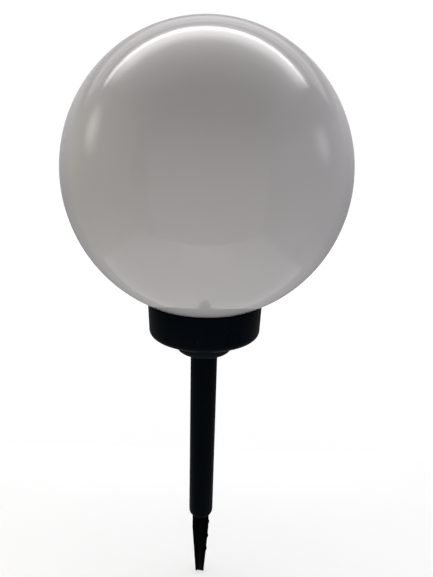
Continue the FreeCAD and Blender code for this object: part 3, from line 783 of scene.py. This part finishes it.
nickel = Finish("nickel_plate")
rolled = nickel.clouds(900.0, stretch=(1.0, 0.08, 1.0))
spots = nickel.spread(nickel.clouds(500.0, detail=4.0), 0.60, 0.72)
nickel.end_in(Base_Color=nickel.blend(spots, nickel_bright, nickel_spotted), Metallic=1.0,
              Roughness=0.22 + rolled * 0.16 + spots * 0.2,
              Normal=nickel.relief(rolled, depth=0.015))
dress_nodes(nickel, "battery_contact", "battery_spring")

tray_finish = moulded("tray_plastic", dark=(0.012, 0.012, 0.013), pale=(0.022, 0.022, 0.023),
                      roughness=(0.40, 0.52), shine=0.45, grain=2400.0, depth=0.015,
                      flow=(1.0, 0.4, 1.0))
dress_nodes(tray_finish, "battery_tray")


# ---- Solar panel --------------------------------------------------------------------
# The panel in the plate's pocket: four strips of polycrystalline silicon on a small board,
# under a cast clear resin cover.  The flakes of the crystal show, fine silver fingers run
# along each strip, and two bus bars cross it.
crystal_dark = (0.004, 0.010, 0.045)
crystal_blue = (0.012, 0.030, 0.120)
finger_silver = (0.55, 0.56, 0.58)
resin_clear = (0.96, 0.97, 0.96)
resin_cast = (0.92, 0.94, 0.92)

silicon = Finish("cell_silicon")
flakes = silicon.node("TexVoronoi", {}, {"Vector": silicon.place, "Scale": 320.0}, "Color")
flake_tone = silicon.node("SeparateColor", {}, {"Color": flakes}, "Red")
fingers = silicon.spread(silicon.waves("X", 105.0), 0.965, 0.985)
bars = silicon.spread(silicon.waves("Y", 15.0), 0.990, 0.996)
silver = silicon.spread(fingers + bars, 0.0, 1.0)
crystal = silicon.blend(flake_tone, crystal_dark, crystal_blue)
silicon.end_in(Base_Color=silicon.blend(silver, crystal, finger_silver),
               Metallic=silver * 0.8, Roughness=0.22 + flake_tone * 0.18,
               Normal=silicon.relief(silver, depth=0.02))
dress_nodes(silicon, "solar_cells")

resin = Finish("clear_resin")
cast = resin.clouds(90.0, detail=2.0)
hairlines = resin.spread(resin.clouds(700.0, stretch=(1.0, 0.04, 1.0)), 0.66, 0.74)
resin.end_in(Base_Color=resin.blend(cast, resin_clear, resin_cast),
             Roughness=0.04 + hairlines * 0.25, Normal=resin.relief(cast, depth=0.08),
             Transmission_Weight=1.0, IOR=1.5)
dress_nodes(resin, "panel_cover")


# ---- Diodes -------------------------------------------------------------------------
# Four warm white diodes of clear epoxy, which turns milky yellow at the foot, where the
# phosphor cup sits.  Each stands in a black rubber collar in the plate's roof, and the
# gasket under the plate is of the same rubber.
epoxy_clear = (0.93, 0.94, 0.92)
phosphor_yellow = (0.85, 0.72, 0.32)
phosphor_edge = (0.1870, 0.1900)  # metres

epoxy = Finish("lens_epoxy")
haze = epoxy.spread(epoxy.along("Z"), *phosphor_edge, 1.0, 0.0)
swirl = epoxy.clouds(500.0, detail=2.0)
epoxy.end_in(Base_Color=epoxy.blend(haze, epoxy_clear, phosphor_yellow),
             Roughness=0.06 + haze * 0.3 + swirl * 0.05,
             Normal=epoxy.relief(swirl, depth=0.01), Transmission_Weight=0.75, IOR=1.52)
dress_nodes(epoxy, "leds")

collar_rubber = moulded("collar_rubber", dark=(0.012, 0.012, 0.012), pale=(0.020, 0.020, 0.020),
                        roughness=(0.66, 0.80), shine=0.4, grain=3000.0, depth=0.02)
dress_nodes(collar_rubber, "led_grommets", "plate_gasket")


# ---- Module plate -------------------------------------------------------------------
# The lid over the base that carries the panel, the diodes and the board.  Pale grey ABS,
# which throws the diodes' light up into the globe; four screws from below hold it down.
plate_grey = (0.50, 0.50, 0.49)
plate_pale = (0.57, 0.57, 0.56)

plate_finish = Finish("plate_plastic")
plate_tone = plate_finish.clouds(30.0, detail=4.0)
plate_grain = plate_finish.clouds(2400.0, detail=2.0)
plate_share = plate_finish.spread(plate_tone, 0.35, 0.65)
plate_finish.end_in(Base_Color=plate_finish.blend(plate_share, plate_grey, plate_pale),
                    Roughness=0.38 + plate_tone * 0.16,
                    Normal=plate_finish.relief(plate_grain, depth=0.015))
dress_nodes(plate_finish, "module_plate")


# ---- Globe seal ---------------------------------------------------------------------
# The ring under the globe's neck, which the last part of the turn presses down.  Moulded
# silicone rubber, charcoal grey, with a fine matt grain.
seal_finish = moulded("seal_rubber", dark=(0.020, 0.020, 0.020), pale=(0.034, 0.034, 0.033),
                      roughness=(0.58, 0.76), shine=0.4, grain=2600.0, depth=0.02)
dress_nodes(seal_finish, "globe_seal")


# ---- Globe --------------------------------------------------------------------------
# The opal ball: blown acrylic of one wall thickness with a straight neck, and three coarse
# thread ribs outside the neck.  The ball is cut open at the neck, the neck is drawn down,
# the wall is given its thickness inwards, and the ribs are joined on.
globe_radius = 100.0
globe_wall = 1.8
globe_segments = 192
globe_rings = 96
neck_round = 1.2
neck_round_steps = 4
neck_rib_span = 58.0
globe_at_rim = bore_radius - seat_gap
globe_centre = base_rim + math.sqrt(globe_radius ** 2 - globe_at_rim ** 2)
neck_join = globe_centre - math.sqrt(globe_radius ** 2 - neck_radius ** 2)
opal_dark = (0.401, 0.392, 0.389)
opal_pale = (0.428, 0.421, 0.419)
scratch_pale = (0.48, 0.48, 0.48)

globe = new_piece("globe_shell", bpy.ops.mesh.primitive_uv_sphere_add,
                  segments=globe_segments, ring_count=globe_rings,
                  radius=globe_radius * mm, location=(0.0, 0.0, globe_centre * mm))
take_up(globe)
bpy.ops.mesh.bisect(plane_co=(0.0, 0.0, neck_join * mm), plane_no=(0.0, 0.0, 1.0),
                    clear_inner=True)
pick(lambda edge: edge.is_boundary, "EDGE")
pull(0.0, 0.0, neck_foot - neck_join)
pick(lambda edge: all(abs(corner.co.z - neck_join * mm) < same_place
                      for corner in edge.verts), "EDGE")
bpy.ops.mesh.bevel(offset=neck_round * mm, segments=neck_round_steps)
close_up()
put_down()
apply_modifier(globe, "SOLIDIFY", thickness=globe_wall * mm, offset=-1.0, use_even_offset=True)
combine(globe, screw_ribs("neck_rib", neck_radius, neck_radius + rib_height, neck_rib_span,
                          rib_foot))
smooth(globe)

opal = Finish("opal_plastic")
cloudiness = opal.clouds(9.0)
flow_marks = opal.clouds(26.0, stretch=(1.0, 1.0, 0.35))
handling = opal.spread(opal.clouds(38.0, detail=5.0), 0.50, 0.72)
orange_peel = opal.clouds(750.0, detail=2.0)
scratch_place = opal.node("Mapping", {}, {"Vector": opal.place, "Rotation": (0.3, 0.5, 0.2),
                                          "Scale": (1.0, 0.03, 1.0)})
scratch_noise = opal.node("TexNoise", {}, {"Vector": scratch_place, "Scale": 1300.0,
                                           "Detail": 2.0}, "Fac")
scratch_patch = opal.spread(opal.clouds(24.0, detail=2.0), 0.60, 0.68)
scratches = opal.spread(scratch_noise, 0.69, 0.73) * scratch_patch
opal_share = opal.spread(cloudiness * 0.7 + flow_marks * 0.3, 0.36, 0.64)
opal_tone = opal.blend(opal_share, opal_dark, opal_pale)
ripple = cloudiness * 0.6 + flow_marks * 0.4 + orange_peel * 0.06
opal.end_in(Base_Color=opal.blend(scratches * 0.3, opal_tone, scratch_pale),
            Roughness=0.07 + handling * 0.06 + scratches * 0.2,
            Normal=opal.relief(ripple, depth=0.35), IOR=1.49)
dress(globe, opal, "globe", "globe")


# ---- Floor and studio ---------------------------------------------------------------
# A pale table inside a white light tent, with the garden light on the point of its spike.
# The tent's roof and sides and the strip light are glowing cards that the camera doesn't
# see, and a rectangular studio lamp under the strip adds to its light.
tip_gap = 0.0002  # lengths are in metres from here on
middle = globe_centre * mm
floor_height = -spike_length * mm - tip_gap
floor_front = -0.39
floor_back = 2.6
floor_side = 1.6
ambient = 0.97  # the world's strength for diffuse light
tent_light = 1.56  # how much more light the tent throws than gloss shows
tent_left = -0.430
tent_right = 0.375
tent_front = -0.375
tent_back = 0.180
tent_low = floor_height + 0.001
tent_roof = middle + 0.333
opening_left = -0.27
opening_right = 0.31
opening_top = middle + 0.105
room_front = tent_front - 0.01
strip_at = 0.0995
strip_width = 0.026
strip_end = 0.365
strip_height = tent_roof - 0.002
strip_turn = 1.1
strip_glow = 5.8
studio_lamp_length = 0.5
studio_lamp_glow = 1.3
studio_lamp_height = tent_roof - 0.004
tint_warm = (1.0, 0.96, 0.955)
table_dark = 0.53
table_pale = 0.56
table_seen = 0.557  # the table's glow for the camera
# The table's glow in gloss is painted light: a painted reflection, bright near the tent's
# opening and dim far from it.
table_mirrored_near = 0.84
table_mirrored_far = 0.36
# The table's glow for diffuse light is painted light, which lights the object from below though
# the table is no lamp.
table_glow = 0.38
table_near_edge = (0.05, 0.46)
camera_place = Vector((0.0084, -0.3446, middle + 0.0156))
camera_pitch = 15.806
camera_roll = 1.57
focal_pixels = 474.1
picture_height = 577.0
sensor_size = 36.0


def seen_directly(finish):
    """1 for rays from the camera, a reflection or through glass, and 0 for diffuse light."""
    camera_ray = finish.node("LightPath", {}, {}, "Is Camera Ray")
    glossy_ray = finish.node("LightPath", {}, {}, "Is Glossy Ray")
    clear_ray = finish.node("LightPath", {}, {}, "Is Transmission Ray")
    return camera_ray + glossy_ray + clear_ray


def grey(level):
    return (level, level, level)


def sheet(name, corner, opposite, turn=0.0):
    """A flat stage rectangle between two opposite corners, turned clockwise by some degrees."""
    sides = Vector(opposite) - Vector(corner)
    centre = 0.5 * (Vector(corner) + Vector(opposite))
    facing = ((0.0, 0.5 * math.pi, 0.0), (0.5 * math.pi, 0.0, 0.0), (0.0, 0.0, 0.0))
    thin_way = min(range(3), key=lambda k: sides[k])
    made = new_piece(name, bpy.ops.mesh.primitive_plane_add, size=1.0, location=centre,
                     rotation=facing[thin_way])
    take_up(made)
    bpy.ops.transform.resize(value=[side or 1.0 for side in sides], center_override=centre)
    if turn:
        bpy.ops.transform.rotate(value=math.radians(turn), orient_axis="Z",
                                 center_override=centre)
    put_down()
    return made


def card(name, corner, opposite, axis, stops, pool=None, ends=None, turn=0.0, tint=grey(1.0)):
    """A flat glowing card between two opposite corners, that the camera doesn't see.  Gloss
    and glass show its glow as given, and it throws tent_light times as much.  The stops are
    places along an axis with the glow there.  A pool is a brighter oval: its middle, its
    reach each way, its tilt about X and its glow.  The ends are the four places along X
    between which the glow comes in and goes out, and the glow outside them."""
    made = sheet(name, corner, opposite, turn)
    paper = Finish(name + "_paper")
    start = stops[0][0]
    reach = stops[-1][0] - start
    peak = max([glow for at, glow in stops] + [pool[3] if pool else 0.0])
    place = paper.spread(paper.along(axis), start, start + reach)
    levels = [((at - start) / reach, [glow / peak * share for share in tint])
              for at, glow in stops]
    glow = paper.node("ValToRGB", {"stops": levels}, {"Fac": place})
    if pool:
        pool_middle, pool_reach, pool_tilt = pool[:3]
        oval = paper.node("Mapping", {"vector_type": "TEXTURE"},
                          {"Vector": paper.place, "Location": pool_middle, "Scale": pool_reach,
                           "Rotation": (math.radians(pool_tilt), 0.0, 0.0)})
        away = paper.node("VectorMath", {"operation": "LENGTH"}, {0: oval}, "Value")
        glow = paper.blend(paper.spread(away, 0.0, 1.0, 1.0, 0.0), glow, tint)
    if ends:
        in_from, in_to, out_from, out_to, outside_glow = ends
        across = paper.along("X")
        inside = paper.spread(across, in_from, in_to) * paper.spread(across, out_to, out_from)
        glow = paper.blend(inside, grey(outside_glow / peak), glow)
    shown = paper.node("VectorMath", {"operation": "SCALE"},
                       {0: glow, "Scale": 1.0 / tent_light})
    paper.end_in(Base_Color=grey(0.0), Roughness=1.0, Specular_IOR_Level=0.0,
                 Emission_Color=paper.blend(seen_directly(paper), glow, shown),
                 Emission_Strength=tent_light * peak)
    coat(made, paper)
    made.visible_camera = False


floor = sheet("floor", (-floor_side, floor_front, floor_height),
              (floor_side, floor_back, floor_height))
table = Finish("table_paper")
fibres = table.clouds(900.0)
from_opening = table.node("VectorMath", {"operation": "DISTANCE"},
                          {0: table.place, 1: (0.0, tent_front, floor_height)}, "Value")
# Painted light: the table glows white for the camera, as a painted reflection in gloss that is
# brighter near the tent's opening, and as light thrown up onto the object.
near = table.spread(from_opening, *table_near_edge, 1.0, 0.0)
camera_ray = table.node("LightPath", {}, {}, "Is Camera Ray")
table_mirrored = table.blend(near, grey(table_mirrored_far), grey(table_mirrored_near))
table_shown = table.blend(camera_ray, table_mirrored, grey(table_seen))
table.end_in(Base_Color=table.blend(fibres, grey(table_dark), grey(table_pale)),
             Roughness=0.85, Specular_IOR_Level=0.1, Emission_Strength=1.0,
             Emission_Color=table.blend(seen_directly(table), grey(table_glow * tent_light),
                                        table_shown))
coat(floor, table)

card("tent_roof", (tent_left, tent_front, tent_roof), (tent_right, tent_back, tent_roof), "Y",
     [(-0.22, 0.02), (-0.12, 0.30), (-0.06, 0.60), (0.0, 1.3), (0.05, 3.9), (0.085, 4.2),
      (0.112, 1.7), (0.145, 0.75), (0.18, 0.20)],
     ends=(-0.40, -0.24, 0.29, 0.37, 0.35), tint=(1.0, 0.972, 0.985))
card("tent_left", (tent_left, tent_front, tent_low), (tent_left, tent_back, tent_roof), "Z",
     [(tent_low, 0.46), (middle - 0.10, 0.33), (middle - 0.04, 0.40), (middle + 0.08, 0.65),
      (middle + 0.20, 0.60), (tent_roof, 0.52)],
     pool=((tent_left, -0.014, middle + 0.168), (1.0, 0.070, 0.122), -24.0, 3.1),
     tint=(1.0, 0.99, 0.88))
card("tent_right", (tent_right, tent_front, tent_low), (tent_right, tent_back, tent_roof), "Z",
     [(tent_low, 0.42), (middle - 0.12, 0.32), (middle, 0.45), (middle + 0.13, 0.58),
      (middle + 0.175, 0.52), (middle + 0.21, 0.28), (tent_roof, 0.27)],
     pool=((tent_right, -0.032, middle + 0.118), (1.0, 0.062, 0.080), 0.0, 2.1),
     tint=(0.93, 0.94, 1.0))
card("tent_back", (tent_left, tent_back, tent_low), (tent_right, tent_back, tent_roof), "Z",
     [(tent_low, 0.40), (middle - 0.30, 0.43), (middle - 0.18, 0.28), (middle - 0.05, 0.27),
      (middle + 0.12, 0.62), (middle + 0.145, 0.61), (middle + 0.175, 0.45),
      (middle + 0.215, 0.42), (middle + 0.235, 1.0), (middle + 0.255, 1.04),
      (middle + 0.285, 0.70), (middle + 0.31, 0.97), (tent_roof, 1.10)],
     tint=(0.99, 0.965, 1.0))
card("front_top", (tent_left, tent_front, opening_top), (tent_right, tent_front, tent_roof), "Z",
     [(opening_top, 0.45), (middle + 0.22, 0.35), (tent_roof, 0.02)], tint=tint_warm)
for name, low_x, high_x in (("front_left", tent_left, opening_left),
                            ("front_right", opening_right, tent_right)):
    card(name, (low_x, tent_front, tent_low), (high_x, tent_front, opening_top), "Z",
         [(tent_low, 0.34), (opening_top, 0.34)])
card("room", (opening_left, room_front, tent_low), (opening_right, room_front, opening_top), "Z",
     [(tent_low, 0.60), (opening_top, 0.60)], tint=tint_warm)
strip_low = strip_at - 0.5 * strip_width
strip_high = strip_at + 0.5 * strip_width
card("strip", (tent_left, strip_low, strip_height), (strip_end, strip_high, strip_height), "Y",
     [(strip_low, strip_glow), (strip_high, strip_glow)],
     ends=(-0.43, -0.37, 0.30, 0.37, 0.9), turn=strip_turn)

studio_lamp = bpy.data.objects.new("strip_lamp", bpy.data.lights.new("strip_lamp", "AREA"))
studio_lamp.data.shape = "RECTANGLE"
studio_lamp.data.size = studio_lamp_length
studio_lamp.data.size_y = strip_width
studio_lamp.data.energy = studio_lamp_glow * math.pi * studio_lamp_length * strip_width
bpy.context.scene.collection.objects.link(studio_lamp)
studio_lamp.location = (0.0, strip_at, studio_lamp_height)
studio_lamp.rotation_euler = (0.0, 0.0, -math.radians(strip_turn))
studio_lamp.visible_camera = False


class Surroundings(Finish):
    """The white outside the tent, whose nodes end in the world's background."""

    def __init__(self, name):
        self.world = bpy.data.worlds.new(name)
        self.world.use_nodes = True
        self.tree = self.world.node_tree
        self.shader = self.tree.nodes["Background"]


outside = Surroundings("studio_white")
outside.end_in(Color=grey(1.0), Strength=ambient + (1.0 - ambient) * seen_directly(outside))
bpy.context.scene.world = outside.world

camera = bpy.data.objects.new("camera", bpy.data.cameras.new("camera"))
bpy.context.scene.collection.objects.link(camera)
pitch = math.radians(camera_pitch)
roll = math.radians(camera_roll)
forward = Vector((0.0, math.cos(pitch), -math.sin(pitch)))
level_up = Vector((0.0, math.sin(pitch), math.cos(pitch)))
level_right = Vector((1.0, 0.0, 0.0))
right = math.cos(roll) * level_right + math.sin(roll) * level_up
up = math.cos(roll) * level_up - math.sin(roll) * level_right
facing_along = Matrix((right, up, -forward)).transposed().to_4x4()
camera.matrix_world = Matrix.Translation(camera_place) @ facing_along
camera.data.sensor_width = sensor_size
camera.data.lens = focal_pixels * sensor_size / picture_height
camera.data.clip_start = 0.01
bpy.context.scene.camera = camera
bpy.context.scene.view_settings.view_transform = "Standard"
